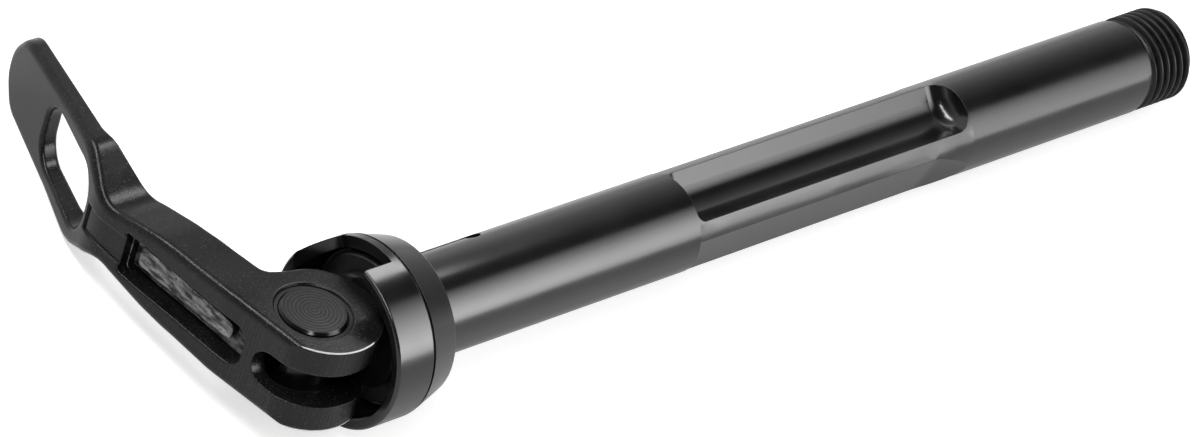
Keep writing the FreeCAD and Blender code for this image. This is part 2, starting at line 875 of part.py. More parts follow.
def make_return_spring():
    # Round wire in a helix between the wedge and the shoulder
    body = new_body("return_spring")
    start = get("wedge_seat_end") + 0.7
    sketch = new_sketch(body, "wire_section", "XY_Plane")
    draw_circle(sketch, start, 4.3, 0.45)
    coil = body.newObject("PartDesign::AdditiveHelix", "coil")
    coil.Profile = sketch
    coil.ReferenceAxis = (sketch, ["H_Axis"])
    coil.Mode = "pitch-height-angle"
    coil.Pitch = 5.5
    coil.Height = 22.05
    coil.Angle = 0
    bind(coil, "Height", get("spring_bore_end") - start - 1.25)
    doc.recompute()
    return body


# Tension adjuster in the threaded end

def make_adjuster_nut():
    body = new_body("adjuster_nut")
    start, end, radius = nut_start(), nut_end(), get("nut_radius")
    inner = get("rod_radius") + get("wedge_gap")
    deep = rod_end() + 0.4
    lathe(body, "nut", [
        (start, inner),
        (start, radius - 0.3),
        (start + 0.3, radius),
        (start + 5.0, radius),
        (start + 5.0, radius - 0.8),
        (start + 6.4, radius - 0.8),
        (start + 6.4, radius),
        (end - 0.4, radius),
        (end, radius - 0.4),
        (end, inner),
    ])
    cut_hexagon(body, "socket", end, get("hex_half_width"), end - deep, False)
    return body


def make_adjuster_clip():
    # Internal snap ring with two lugs, each with a hole for the pliers
    body = new_body("adjuster_clip")
    place, thick = clip_place() + 0.05, get("clip_thickness") - 0.1
    sketch = new_sketch(body, "clip_ring", "YZ_Plane", shift=place)
    draw_circle(sketch, 0, 0, get("counterbore_radius") + 0.35)
    draw_circle(sketch, 0, 0, get("counterbore_radius") - 0.55)
    extrude(body, "Pad", "ring", sketch, thick)
    for name, sign in (("lug_near", -1), ("lug_far", 1)):
        lug = new_sketch(body, name + "_outline", "YZ_Plane", shift=place)
        draw_circle(lug, 1.25 * sign, 3.75, 0.85)
        extrude(body, "Pad", name, lug, thick)
    gap = new_sketch(body, "gap_outline", "YZ_Plane", shift=place)
    draw_outline(gap, [(-0.5, 2.5), (0.5, 2.5), (0.5, 6.0), (-0.5, 6.0)])
    extrude(body, "Pocket", "clip_gap", gap, 4, both=True)
    for name, sign in (("hole_near", -1), ("hole_far", 1)):
        hole = new_sketch(body, name + "_outline", "YZ_Plane", shift=place)
        draw_circle(hole, 1.3 * sign, 3.7, 0.4)
        extrude(body, "Pocket", name, hole, 4, both=True)
    return body


def make_all():
    make_axle_shaft()
    make_lever()
    make_pivot_barrel()
    ear, gap = get("ear_half_width") - 0.4, get("slot_half_width") + 0.1
    make_ear_bush("ear_bush_upper", gap, ear)
    make_ear_bush("ear_bush_lower", -ear, -gap)
    make_draw_rod()
    make_rod_lock_screw()
    make_cam_follower()
    make_expander_wedge()
    section = get("wedge_ring_section")
    make_ring("wedge_o_ring", -0.25, get("wedge_groove_radius") + section, section)
    make_return_spring()
    rod, spring = get("rod_radius"), get("spring_bore_radius")
    make_washer("wedge_spring_washer", get("wedge_seat_end") - 0.6, 0.8, rod + 0.4, spring - 0.15)
    make_washer("shoulder_spring_washer", get("spring_bore_end") - 0.8, 0.8, rod + 0.4, spring - 0.1)
    shoulder = shoulder_place()
    make_washer("adjuster_seat_washer", shoulder, 1.0, rod + 0.1, get("nut_radius"))
    make_washer("disc_spring_inner", shoulder + 1.0, 0.6, rod + 0.3, get("nut_radius"), 0.7)
    make_washer("disc_spring_outer", shoulder + 3.0, 0.6, rod + 0.3, get("nut_radius"), -0.7)
    make_washer("adjuster_thrust_washer", nut_start() - 0.8, 0.8, rod + 0.3, get("nut_radius"))
    make_adjuster_nut()
    make_ring("adjuster_o_ring", nut_start() + 5.7, get("nut_radius") - 0.325, 0.475)
    make_adjuster_clip()


def check_document():
    faults = []
    for item in doc.Objects:
        if "Invalid" in item.State or "Error" in item.State:
            faults.append(item.Name)
    for body in nodes:
        if body.Shape.isNull() or not body.Shape.isValid():
            faults.append(body.Label)
        elif len(body.Shape.Solids) != 1:
            faults.append("%s has %d solids" % (body.Label, len(body.Shape.Solids)))
    if faults:
        raise RuntimeError("faulty objects: " + ", ".join(faults))


def write_nodes():
    os.makedirs("parts", exist_ok=True)
    for body in nodes:
        body.Shape.exportStep(os.path.join("parts", body.Label + ".step"))
        box = body.Shape.BoundBox
        span = (box.XMin, box.XMax, box.YMin, box.YMax, box.ZMin, box.ZMax)
        print(body.Label, " ".join("%.2f" % number for number in span))


make_all()
doc.recompute()
check_document()
write_nodes()
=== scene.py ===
import bpy
import bmesh
import json
import math
from mathutils import Euler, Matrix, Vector


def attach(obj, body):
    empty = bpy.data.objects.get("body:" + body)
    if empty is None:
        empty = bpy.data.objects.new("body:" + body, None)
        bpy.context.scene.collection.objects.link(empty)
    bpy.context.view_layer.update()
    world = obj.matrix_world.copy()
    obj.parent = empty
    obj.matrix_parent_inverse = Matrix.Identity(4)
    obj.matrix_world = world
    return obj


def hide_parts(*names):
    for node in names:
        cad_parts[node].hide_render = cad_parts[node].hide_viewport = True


# Bicycle thru axle with a cam lever, lying on a white studio floor
# X runs along the tube to the threaded end, Y is the way the lever points, Z is the cross pin
# Lengths are in metres, except where a note says otherwise

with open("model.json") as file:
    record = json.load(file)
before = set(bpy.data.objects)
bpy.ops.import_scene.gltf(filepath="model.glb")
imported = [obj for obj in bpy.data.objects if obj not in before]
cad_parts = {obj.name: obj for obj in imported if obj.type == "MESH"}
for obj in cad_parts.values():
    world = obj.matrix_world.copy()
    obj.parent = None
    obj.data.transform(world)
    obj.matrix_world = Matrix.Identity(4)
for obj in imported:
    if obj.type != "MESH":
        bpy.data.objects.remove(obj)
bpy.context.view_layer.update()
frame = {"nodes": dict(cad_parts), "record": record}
nodes = frame["nodes"]
print("frame loaded:", len(nodes), "nodes")


# Camera, as the photograph was taken

cameraSettings = {
    "place": (-0.4986, -0.4087, 0.5142),
    "turn": (51.337, -15.278, -40.698),    # degrees about X, Y and Z
    "lens": 176.6,                         # millimetres
    "sensor": 36.0,                        # millimetres
    "nearest": 0.01,
    "farthest": 20.0,
}


def makeCamera(settings):
    data = bpy.data.cameras.new("photoCamera")
    data.lens = settings["lens"]
    data.sensor_width = settings["sensor"]
    data.clip_start, data.clip_end = settings["nearest"], settings["farthest"]
    camera = bpy.data.objects.new("photoCamera", data)
    camera.location = settings["place"]
    camera.rotation_euler = Euler([math.radians(angle) for angle in settings["turn"]], "XYZ")
    bpy.context.collection.objects.link(camera)
    bpy.context.scene.camera = camera


makeCamera(cameraSettings)
print("camera placed")


# Small helpers for node materials

def newMaterial(name, ior=None):
    material = bpy.data.materials.new(name)
    material.use_nodes = True
    tree = material.node_tree
    shader = next(node for node in tree.nodes if node.type == "BSDF_PRINCIPLED")
    if ior:
        shader.inputs["IOR"].default_value = ior
    return material, tree, shader


def objectPoints(tree, scale=(1, 1, 1)):
    coords = tree.nodes.new("ShaderNodeTexCoord")
    mapping = tree.nodes.new("ShaderNodeMapping")
    mapping.inputs["Scale"].default_value = scale
    tree.links.new(coords.outputs["Object"], mapping.inputs["Vector"])
    return mapping.outputs["Vector"]


def splitVector(tree, vector):
    # The X, Y and Z outputs of a vector
    split = tree.nodes.new("ShaderNodeSeparateXYZ")
    tree.links.new(vector, split.inputs[0])
    return [split.outputs[axis] for axis in "XYZ"]


def noiseAt(tree, places, scale, detail):
    noise = tree.nodes.new("ShaderNodeTexNoise")
    noise.inputs["Scale"].default_value = scale
    noise.inputs["Detail"].default_value = detail
    tree.links.new(places, noise.inputs["Vector"])
    return noise.outputs["Fac"]


def mathNode(tree, operation, *values):
    node = tree.nodes.new("ShaderNodeMath")
    node.operation = operation
    for socket, value in zip(node.inputs, values):
        if isinstance(value, (int, float)):
            socket.default_value = value
        else:
            tree.links.new(value, socket)
    return node.outputs[0]


def addAll(tree, first, *others):
    for other in others:
        first = mathNode(tree, "ADD", first, other)
    return first


def timesAll(tree, first, *others):
    for other in others:
        first = mathNode(tree, "MULTIPLY", first, other)
    return first


def distanceFrom(tree, x, y, centre):
    # Distance from an axis that stands on the XY plane
    aside = mathNode(tree, "SUBTRACT", x, centre[0])
    along = mathNode(tree, "SUBTRACT", y, centre[1])
    squares = addAll(tree, timesAll(tree, aside, aside), timesAll(tree, along, along))
    return mathNode(tree, "SQRT", squares)


def rampBetween(tree, source, low, high, lowColour, highColour):
    ramp = tree.nodes.new("ShaderNodeValToRGB")
    ramp.color_ramp.elements[0].position = low
    ramp.color_ramp.elements[1].position = high
    ramp.color_ramp.elements[0].color = (*lowColour, 1)
    ramp.color_ramp.elements[1].color = (*highColour, 1)
    tree.links.new(source, ramp.inputs["Fac"])
    return ramp.outputs["Color"]


def rampValue(tree, source, low, high, start, end):
    spread = tree.nodes.new("ShaderNodeMapRange")
    for socket, value in (("From Min", low), ("From Max", high), ("To Min", start), ("To Max", end)):
        spread.inputs[socket].default_value = value
    tree.links.new(source, spread.inputs["Value"])
    return spread.outputs["Result"]


def mixColours(tree, share, first, second):
    # Each colour is another node's output or a plain triple
    mixed = tree.nodes.new("ShaderNodeMix")
    mixed.data_type = "RGBA"
    tree.links.new(share, mixed.inputs["Factor"])
    colourSockets = [socket for socket in mixed.inputs if socket.type == "RGBA"]
    for socket, colour in zip(colourSockets, (first, second)):
        if isinstance(colour, tuple):
            socket.default_value = (*colour, 1)
        else:
            tree.links.new(colour, socket)
    return next(output for output in mixed.outputs if output.type == "RGBA")


def brokenNormal(tree, edge):
    # The surface's normal, with each sharp edge broken to a small radius
    broken = tree.nodes.new("ShaderNodeBevel")
    broken.samples = 8
    broken.inputs["Radius"].default_value = edge
    return broken.outputs["Normal"]


def bumpFrom(tree, source, shader, strength, distance, under=None):
    bump = tree.nodes.new("ShaderNodeBump")
    bump.inputs["Strength"].default_value = strength
    bump.inputs["Distance"].default_value = distance
    if under:
        tree.links.new(under, bump.inputs["Normal"])
    tree.links.new(source, bump.inputs["Height"])
    tree.links.new(bump.outputs["Normal"], shader.inputs["Normal"])


# Shaft: satin black anodising over turned aluminium, with the lathe's faint rings

anodisedFinish = {
    "colour": (0.0033, 0.0033, 0.0035),
    "cloudColour": (0.005, 0.005, 0.0053),
    "cloudScale": 90.0,
    "smooth": 0.17,                # roughness where the clouds are dark, and where they are pale
    "rough": 0.23,
    "ior": 1.53,
    "ringScale": (9000, 60, 60),
    "ringHeight": 0.00002,
    "bump": 0.05,
    "edge": 0.00012,               # polished break of each sharp edge
}


def makeAnodised(settings):
    material, tree, shader = newMaterial("satinAnodising", settings["ior"])
    clouds = noiseAt(tree, objectPoints(tree), settings["cloudScale"], 4.0)
    colour = rampBetween(tree, clouds, 0.3, 0.7, settings["colour"], settings["cloudColour"])
    tree.links.new(colour, shader.inputs["Base Color"])
    rough = rampValue(tree, clouds, 0.3, 0.7, settings["smooth"], settings["rough"])
    tree.links.new(rough, shader.inputs["Roughness"])
    rings = noiseAt(tree, objectPoints(tree, settings["ringScale"]), 1.0, 2.0)
    broken = brokenNormal(tree, settings["edge"])
    bumpFrom(tree, rings, shader, settings["bump"], settings["ringHeight"], broken)
    return material


# Lever: fine blasted black anodising on the forging

blastedFinish = {
    "colour": (0.0036, 0.0036, 0.0038),
    "worn": (0.0072, 0.0072, 0.0075),
    "cloudScale": 120.0,
    "smooth": 0.20,
    "rough": 0.28,
    "ior": 1.32,
    "grain": 4600.0,
    "mottle": 1300.0,
    "mottleShare": 0.8,                    # of the mottling in the height, against the grain's
    "blastHeight": 0.00004,
    "bump": 0.55,
    "edge": 0.00038,                       # break of each sharp edge
    "speck": (0.022, 0.022, 0.0224),       # a few bright grains stand out of the blasting
    "speckScale": 2760.0,
    "rub": 0.05,                           # share of bare metal along a rubbed edge
    # bare metal of the rubbed edges, and the painted highlight on the cam's rim
    "bareAndGlintColour": (0.55, 0.55, 0.56),
}

recessFloorTone = {
    "place": (-0.0260, 0.0155, 0.0),       # middle of the recess floor, and half of its size
    "half": (0.0060, 0.0124, 0.0042),
    "slope": 0.1166,                       # the outer face leans out by this much along Y
    "depth": -0.0254,
    "facing": -0.8,                        # only faces whose normal points this far along X
    "dark": (0.022, 0.022, 0.0224),
    "pale": (0.34, 0.34, 0.347),
    "flow": (600, 420, 1500),
    "duller": 0.12,                        # added to the roughness
    "relief": 9.0,                         # against the blasting's height
}

camFinish = {
    "pin": (-0.0181, 0.0),                 # X and Y of the pin's axis
    "reach": 0.0097,                       # the milled face lies nearer to the pin than this
    "upright": 0.3,
    "marks": 42.0,                         # milling marks for each radian
    "markHeight": 5.0,
    "centre": (-0.0170, -0.00049),         # X and Y of the cam's own centre
    "rimStart": 0.00860,                   # the polished rim's painted highlight lies between these distances from the cam's centre
    "rimEnd": 0.00882,
    "rimHeight": 0.00704,                  # and farther from the middle plane than this
    "rimFrom": (-0.0142, 0.0),             # below these places along X and Y, where the painted highlight stops
}


def markRecess(tree, place, facing, settings):
    # 1 on the recess floor and 0 elsewhere
    inside = []
    for axis, centre, reach in zip(place, settings["place"], settings["half"]):
        inside.append(mathNode(tree, "COMPARE", axis, centre, reach))
    outward = mathNode(tree, "LESS_THAN", facing[0], settings["facing"])
    sunk = addAll(tree, place[0], timesAll(tree, place[1], settings["slope"]))
    sunk = mathNode(tree, "GREATER_THAN", sunk, settings["depth"])
    return timesAll(tree, *inside, outward, sunk)


def markRimGlint(tree, place, settings):
    # 1 where the cam's polished rim carries a painted highlight, and 0 elsewhere
    reach = distanceFrom(tree, place[0], place[1], settings["centre"])
    away = mathNode(tree, "ABSOLUTE", place[2])
    return timesAll(
        tree,
        mathNode(tree, "GREATER_THAN", reach, settings["rimStart"]),
        mathNode(tree, "LESS_THAN", reach, settings["rimEnd"]),
        mathNode(tree, "GREATER_THAN", away, settings["rimHeight"]),
        mathNode(tree, "LESS_THAN", place[0], settings["rimFrom"][0]),
        mathNode(tree, "LESS_THAN", place[1], settings["rimFrom"][1]),
    )


def millCam(tree, place, facing, settings):
    # Height of the milling marks, which stand across the cam face
    aside = mathNode(tree, "SUBTRACT", place[0], settings["pin"][0])
    turn = mathNode(tree, "ARCTAN2", place[1], aside)
    marks = tree.nodes.new("ShaderNodeTexNoise")
    marks.noise_dimensions = "1D"
    marks.inputs["Scale"].default_value = 1.0
    marks.inputs["Detail"].default_value = 2.0
    tree.links.new(timesAll(tree, turn, settings["marks"]), marks.inputs["W"])
    onCam = mathNode(tree, "LESS_THAN", distanceFrom(tree, place[0], place[1], settings["pin"]), settings["reach"])
    upright = mathNode(tree, "LESS_THAN", mathNode(tree, "ABSOLUTE", facing[2]), settings["upright"])
    return timesAll(tree, onCam, upright, marks.outputs["Fac"])


def makeBlasted(settings, floorTone, cam):
    material, tree, shader = newMaterial("blastedAnodising", settings["ior"])
    points = objectPoints(tree)
    place = splitVector(tree, points)
    surface = tree.nodes.new("ShaderNodeNewGeometry")
    facing = splitVector(tree, surface.outputs["True Normal"])
    grain = noiseAt(tree, points, settings["grain"], 3.0)
    mottle = noiseAt(tree, points, settings["mottle"], 4.0)
    clouds = noiseAt(tree, points, settings["cloudScale"], 5.0)
    flow = noiseAt(tree, objectPoints(tree, floorTone["flow"]), 1.0, 5.0)
    onFloor = markRecess(tree, place, facing, floorTone)
    # The recess floor is paler, in streaks
    colour = rampBetween(tree, clouds, 0.3, 0.75, settings["colour"], settings["worn"])
    streakedFloor = rampBetween(tree, flow, 0.40, 0.68, floorTone["dark"], floorTone["pale"])
    colour = mixColours(tree, onFloor, colour, streakedFloor)
    specks = rampValue(tree, noiseAt(tree, points, settings["speckScale"], 1.0), 0.60, 0.75, 0.0, 1.0)
    colour = mixColours(tree, specks, colour, settings["speck"])
    # Edges are rubbed through to the metal in places, and the cam's polished rim is painted pale as a highlight
    broken = brokenNormal(tree, settings["edge"])
    bent = tree.nodes.new("ShaderNodeVectorMath")
    bent.operation = "DOT_PRODUCT"
    tree.links.new(broken, bent.inputs[0])
    tree.links.new(surface.outputs["Normal"], bent.inputs[1])
    nearEdge = rampValue(tree, bent.outputs["Value"], 0.99, 0.80, 0.0, 1.0)
    rubbed = timesAll(tree, rampValue(tree, clouds, 0.3, 0.65, 0.0, settings["rub"]), nearEdge)
    # rubbed edges are wear; the rim's share is a painted highlight
    bareAndGlint = mathNode(tree, "MAXIMUM", rubbed, markRimGlint(tree, place, cam))
    tree.links.new(mixColours(tree, bareAndGlint, colour, settings["bareAndGlintColour"]), shader.inputs["Base Color"])
    rough = rampValue(tree, clouds, 0.3, 0.7, settings["smooth"], settings["rough"])
    rough = addAll(tree, rough, timesAll(tree, onFloor, floorTone["duller"]))
    tree.links.new(rough, shader.inputs["Roughness"])
    height = addAll(
        tree,
        grain,
        timesAll(tree, mottle, settings["mottleShare"]),
        timesAll(tree, millCam(tree, place, facing, cam), cam["markHeight"]),
        timesAll(tree, onFloor, flow, floorTone["relief"]),
    )
    bumpFrom(tree, height, shader, settings["bump"], settings["blastHeight"], broken)
    return material


# Cross pin: blackened steel, its face turned in fine rings about its own axis, and its edge polished and painted
# darker as shade

turnedFinish = {
    "colour": (0.004, 0.004, 0.0042),
    "ring": (0.016, 0.016, 0.0167),
    "ior": 1.36,
    "roughness": 0.25,
    "ringGap": 0.00056,                    # from ring to ring
    "ringHeight": 0.000012,
    "bump": 0.15,
    "axis": (-0.0181, 0.0),
    "faceRadius": 0.00468,                 # where the turned face ends and the polished chamfer starts
    # painted shade: the chamfer is darker, for the dark ring round the pin
    "chamferShadeColour": (0.002, 0.002, 0.002),
    "edgeRoughness": 0.16,
}


def makeTurned(settings):
    material, tree, shader = newMaterial("turnedPin", settings["ior"])
    coords = tree.nodes.new("ShaderNodeTexCoord")
    place = splitVector(tree, coords.outputs["Object"])
    reach = distanceFrom(tree, place[0], place[1], settings["axis"])
    waves = mathNode(tree, "SINE", timesAll(tree, reach, math.tau / settings["ringGap"]))
    atEdge = mathNode(tree, "GREATER_THAN", reach, settings["faceRadius"])
    share = mathNode(tree, "MULTIPLY_ADD", waves, 0.5, 0.5)
    colour = rampBetween(tree, share, 0.1, 0.9, settings["colour"], settings["ring"])
    # The chamfer takes the darker colour, painted shade for the ring round the pin
    tree.links.new(mixColours(tree, atEdge, colour, settings["chamferShadeColour"]), shader.inputs["Base Color"])
    rough = rampValue(tree, atEdge, 0.0, 1.0, settings["roughness"], settings["edgeRoughness"])
    tree.links.new(rough, shader.inputs["Roughness"])
    bumpFrom(tree, waves, shader, settings["bump"], settings["ringHeight"])
    return material


# Steel and polymer inside the head and the tube

steels = {
    # Slot: material, colour and roughness
    "rod_steel": ("blackenedRod", (0.02, 0.02, 0.021), 0.36),
    "spring_steel": ("springSteel", (0.28, 0.28, 0.285), 0.28),
    "anodised_nut": ("anodisedNut", (0.12, 0.12, 0.126), 0.35),
}

polymers = {
    # Slot: material, colour and roughness
    "bush_polymer": ("bushPolymer", (0.0045, 0.0045, 0.0045), 0.5),
    "follower_polymer": ("followerPolymer", (0.0068, 0.0068, 0.0068), 0.3),
    "wedge_steel": ("wedgeBlack", (0.0068, 0.0068, 0.0068), 0.3),
    "seal_rubber": ("sealRubber", (0.0085, 0.0085, 0.0085), 0.6),
}

hiddenFinish = {
    "streaks": (400, 3000, 3000),          # drawn along X
    "streakShade": 0.8,                    # the darker streaks against the colour
    "streakSpread": 0.15,                  # of the roughness, either way
    "mottle": 700.0,
    "mottleShade": 1.5,
    "mottleSpread": 0.1,
    "mottleHeight": 0.00002,
    "bump": 0.1,
    "polymerIor": 1.36,
}


def makeSteel(name, colour, roughness, settings):
    # Drawn or stamped steel with faint streaks
    material, tree, shader = newMaterial(name)
    shader.inputs["Metallic"].default_value = 1.0
    streaks = noiseAt(tree, objectPoints(tree, settings["streaks"]), 1.0, 3.0)
    darker = tuple(channel * settings["streakShade"] for channel in colour)
    tree.links.new(rampBetween(tree, streaks, 0.3, 0.7, darker, colour), shader.inputs["Base Color"])
    spread = settings["streakSpread"]
    rough = rampValue(tree, streaks, 0.3, 0.7, roughness * (1 - spread), roughness * (1 + spread))
    tree.links.new(rough, shader.inputs["Roughness"])
    return material


def makePolymer(name, colour, roughness, settings):
    # Moulded polymer or rubber with a faint mottling
    material, tree, shader = newMaterial(name, settings["polymerIor"])
    mottle = noiseAt(tree, objectPoints(tree), settings["mottle"], 4.0)
    lighter = tuple(channel * settings["mottleShade"] for channel in colour)
    tree.links.new(rampBetween(tree, mottle, 0.35, 0.7, colour, lighter), shader.inputs["Base Color"])
    spread = settings["mottleSpread"]
    rough = rampValue(tree, mottle, 0.3, 0.7, roughness * (1 - spread), roughness * (1 + spread))
    tree.links.new(rough, shader.inputs["Roughness"])
    bumpFrom(tree, mottle, shader, settings["bump"], settings["mottleHeight"])
    return material


finishes = {
    "anodised_body": makeAnodised(anodisedFinish),
    "blasted_lever": makeBlasted(blastedFinish, recessFloorTone, camFinish),
    "turned_pin": makeTurned(turnedFinish),
}
for slot, look in steels.items():
    finishes[slot] = makeSteel(*look, hiddenFinish)
for slot, look in polymers.items():
    finishes[slot] = makePolymer(*look, hiddenFinish)

for part in frame["record"]["subparts"]:
    piece = nodes[part["node"]]
    piece.data.materials.clear()
    piece.data.materials.append(finishes[part["material_slot"]])
print("finishes made:", len(finishes))


# Thread: the shaft keeps its turned shape, and the plain band at its end becomes a real helix

threadSettings = {
    "start": 0.1487,        # where the run-out groove ends
    "end": 0.158,
    "pitch": 0.0015,
    "crest": 0.00745,
    "depth": 0.00092,
    "groove": 0.0069,       # radius of the run-out groove
    "tipRadius": 0.00665,
    "chamfer": 0.0008,
    "fadeIn": 0.0009,
    "around": 96,           # points round each ring
    "perPitch": 14,         # rings for each pitch
    "margin": 0.00001,
}

threadFinish = {
    "colour": (0.0022, 0.0022, 0.0024),
    "dust": (0.0055, 0.0055, 0.0058),
    "rubScale": 900.0,
    "rubHeight": 0.00003,
    "bump": 0.12,
    "smooth": 0.30,
    "rough": 0.42,
    "ior": 1.36,
}


def threadRadius(x, turn, settings):
    # Rounded sixty degree thread, faded in at the groove and cut off by the chamfer
    toTip = settings["end"] - x
    if toTip < settings["margin"] / 10:
        return settings["tipRadius"]
    phase = ((x - settings["start"]) / settings["pitch"] - turn) % 1.0
    valley = 0.5 - 0.5 * math.cos(math.tau * phase)
    shaped = min(1.0, max(0.0, 1.25 * valley - 0.125))
    grown = min(1.0, (x - settings["start"]) / settings["fadeIn"])
    outer = settings["groove"] + (settings["crest"] - settings["groove"]) * grown
    limit = settings["tipRadius"] + (settings["crest"] - settings["tipRadius"]) * toTip / settings["chamfer"]
    return min(outer - settings["depth"] * grown * shaped, limit)


def copyOf(node, name):
    piece = nodes[node].copy()
    piece.data = nodes[node].data.copy()
    piece.name = name
    bpy.context.collection.objects.link(piece)
    return piece


def cutThread(settings):
    shaft = copyOf("axle_shaft", "threadedShaft")
    # The plain band goes, then a grid of the thread's own rings takes its place
    mesh = bmesh.new()
    mesh.from_mesh(shaft.data)
    plain = []
    for face in mesh.faces:
        middle = face.calc_center_median()
        outside = math.hypot(middle.y, middle.z) > settings["tipRadius"] + settings["margin"]
        if middle.x > settings["start"] + settings["margin"] and outside:
            plain.append(face)
    bmesh.ops.delete(mesh, geom=plain, context="FACES")
    mesh.to_mesh(shaft.data)
    mesh.free()
    print("plain band faces removed:", len(plain))
    length = settings["end"] - settings["start"]
    rings = round(length / settings["pitch"] * settings["perPitch"])
    around = settings["around"]
    grid = bmesh.new()
    rows = []
    for ring in range(rings + 1):
        x = settings["start"] + length * ring / rings
        row = []
        for step in range(around):
            turn = step / around
            radius, angle = threadRadius(x, turn, settings), math.tau * turn
            row.append(grid.verts.new((x, radius * math.cos(angle), radius * math.sin(angle))))
        rows.append(row)
    for low, high in zip(rows, rows[1:]):
        for step in range(around):
            after = (step + 1) % around
            face = grid.faces.new((low[step], high[step], high[after], low[after]))
            face.smooth = True
    bmesh.ops.recalc_face_normals(grid, faces=grid.faces)
    band = bpy.data.meshes.new("threadBand")
    grid.to_mesh(band)
    grid.free()
    thread = bpy.data.objects.new("threadBand", band)
    bpy.context.collection.objects.link(thread)
    return shaft, thread


def makeThreadFinish(settings):
    # Duller black left by the die, a little paler where it has rubbed
    material, tree, shader = newMaterial("dieCutAnodising", settings["ior"])
    rub = noiseAt(tree, objectPoints(tree), settings["rubScale"], 4.0)
    colour = rampBetween(tree, rub, 0.35, 0.7, settings["colour"], settings["dust"])
    tree.links.new(colour, shader.inputs["Base Color"])
    rough = rampValue(tree, rub, 0.3, 0.7, settings["smooth"], settings["rough"])
    tree.links.new(rough, shader.inputs["Roughness"])
    bumpFrom(tree, rub, shader, settings["bump"], settings["rubHeight"])
    return material


threadedShaft, threadBand = cutThread(threadSettings)
threadBand.data.materials.append(makeThreadFinish(threadFinish))
for piece in (threadedShaft, threadBand):
    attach(piece, "shaft")
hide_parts("axle_shaft")
print("thread cut")


# Lever: the forging's waist is shorter than the plain solid's, so a copy is drawn to a new plan outline

leverShape = {
    # Corners as place along Y, half width and rounding, in millimetres
    "plainOutline": [
        (-14.0, 9.0, 1.0), (7.0, 9.0, 20.0), (17.5, 8.25, 25.0), (30.3, 4.45, 6.5),
        (35.2, 6.2, 12.0), (40.5, 9.1, 4.5), (64.5, 6.75, 4.5), (67.7, 2.4, 6.0),
    ],
    "drawnOutline": [
        (-14.0, 9.0, 1.0), (7.0, 9.0, 20.0), (19.8, 8.45, 25.0), (31.3, 4.5, 4.6),
        (39.4, 9.15, 4.2), (64.5, 6.75, 4.5), (67.7, 2.4, 6.0),
    ],
    "from": 1.0,                           # the outline changes between these places, in millimetres
    "to": 63.0,
    "longestEdge": 0.0016,                 # the copy's mesh is split until no edge is longer
    "slopeStep": 0.00002,
}


def halfWidth(place, corners):
    # Half width of a rounded outline at a place along the lever
    for before, corner, after in zip(corners, corners[1:], corners[2:]):
        inward = Vector((before[0] - corner[0], before[1] - corner[1])).normalized()
        outward = Vector((after[0] - corner[0], after[1] - corner[1])).normalized()
        half = inward.angle(outward) / 2
        if math.pi / 2 - half < 0.001:     # the corner is straight
            continue
        reach = corner[2] / math.tan(half)
        start, end = corner[0] + inward.x * reach, corner[0] + outward.x * reach
        if start <= place <= end:
            aim = (inward + outward).normalized()
            centre = Vector(corner[:2]) + aim * (corner[2] / math.sin(half))
            rise = math.sqrt(max(0.0, corner[2] ** 2 - (place - centre.x) ** 2))
            return centre.y - rise if aim.y > 0 else centre.y + rise
    for low, high in zip(corners, corners[1:]):
        if low[0] <= place <= high[0]:
            return low[1] + (high[1] - low[1]) * (place - low[0]) / (high[0] - low[0])
    return corners[0][1]


def widening(along, settings):
    # How much wider the drawn outline is than the plain one
    place = along * 1000
    if not settings["from"] < place < settings["to"]:
        return 1.0
    return halfWidth(place, settings["drawnOutline"]) / halfWidth(place, settings["plainOutline"])


def refineMesh(mesh, longest):
    # Splits the long edges of the plain solid's mesh, and returns the normals of its corners
    store = mesh.attributes.new("solidNormal", "FLOAT_VECTOR", "CORNER")
    for loop in mesh.loops:
        store.data[loop.index].vector = mesh.corner_normals[loop.index].vector
    work = bmesh.new()
    work.from_mesh(mesh)
    for _ in range(6):
        edges = [edge for edge in work.edges if edge.calc_length() > longest]
        if not edges:
            break
        bmesh.ops.subdivide_edges(work, edges=edges, cuts=1, use_grid_fill=False)
        bmesh.ops.triangulate(work, faces=[face for face in work.faces if len(face.verts) > 3])
    work.to_mesh(mesh)
    work.free()
    kept = [Vector(value.vector).normalized() for value in mesh.attributes["solidNormal"].data]
    mesh.attributes.remove(mesh.attributes["solidNormal"])
    return kept


def shapeLever(settings):
    lever = copyOf("lever", "forgedLever")
    mesh = lever.data
    keptNormals = refineMesh(mesh, settings["longestEdge"])
    # The normals lean with the sides, so that the smooth faces stay smooth
    step = settings["slopeStep"]
    normals = []
    for loop in mesh.loops:
        place = mesh.vertices[loop.vertex_index].co
        normal = keptNormals[loop.index]
        wide = widening(place.y, settings)
        slope = (widening(place.y + step, settings) - widening(place.y - step, settings)) / (2 * step)
        lean = normal.y - place.z * slope / wide * normal.z
        normals.append(Vector((normal.x, lean, normal.z / wide)).normalized())
    for vertex in mesh.vertices:
        vertex.co.z *= widening(vertex.co.y, settings)
    mesh.normals_split_custom_set(normals)
    return lever


forgedLever = shapeLever(leverShape)
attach(forgedLever, "lever_body")
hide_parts("lever")
print("lever drawn:", len(forgedLever.data.vertices), "points")


# Studio: the floor touches the collar, the threaded end and the lever's pad

restingPoints = {
    "collar": (-0.0055, 0.0134),           # X and radius
    "thread": (0.1572, 0.00745),
    "pad": (-0.0262, 0.0425, -0.0090),     # X, Y and Z
}

floorPaper = {
    "side": 6.0,
    "colour": (0.62, 0.62, 0.62),
    "roughness": 0.9,
    "glowForLens": 0.62,
    "glowInGloss": 0.08,
}

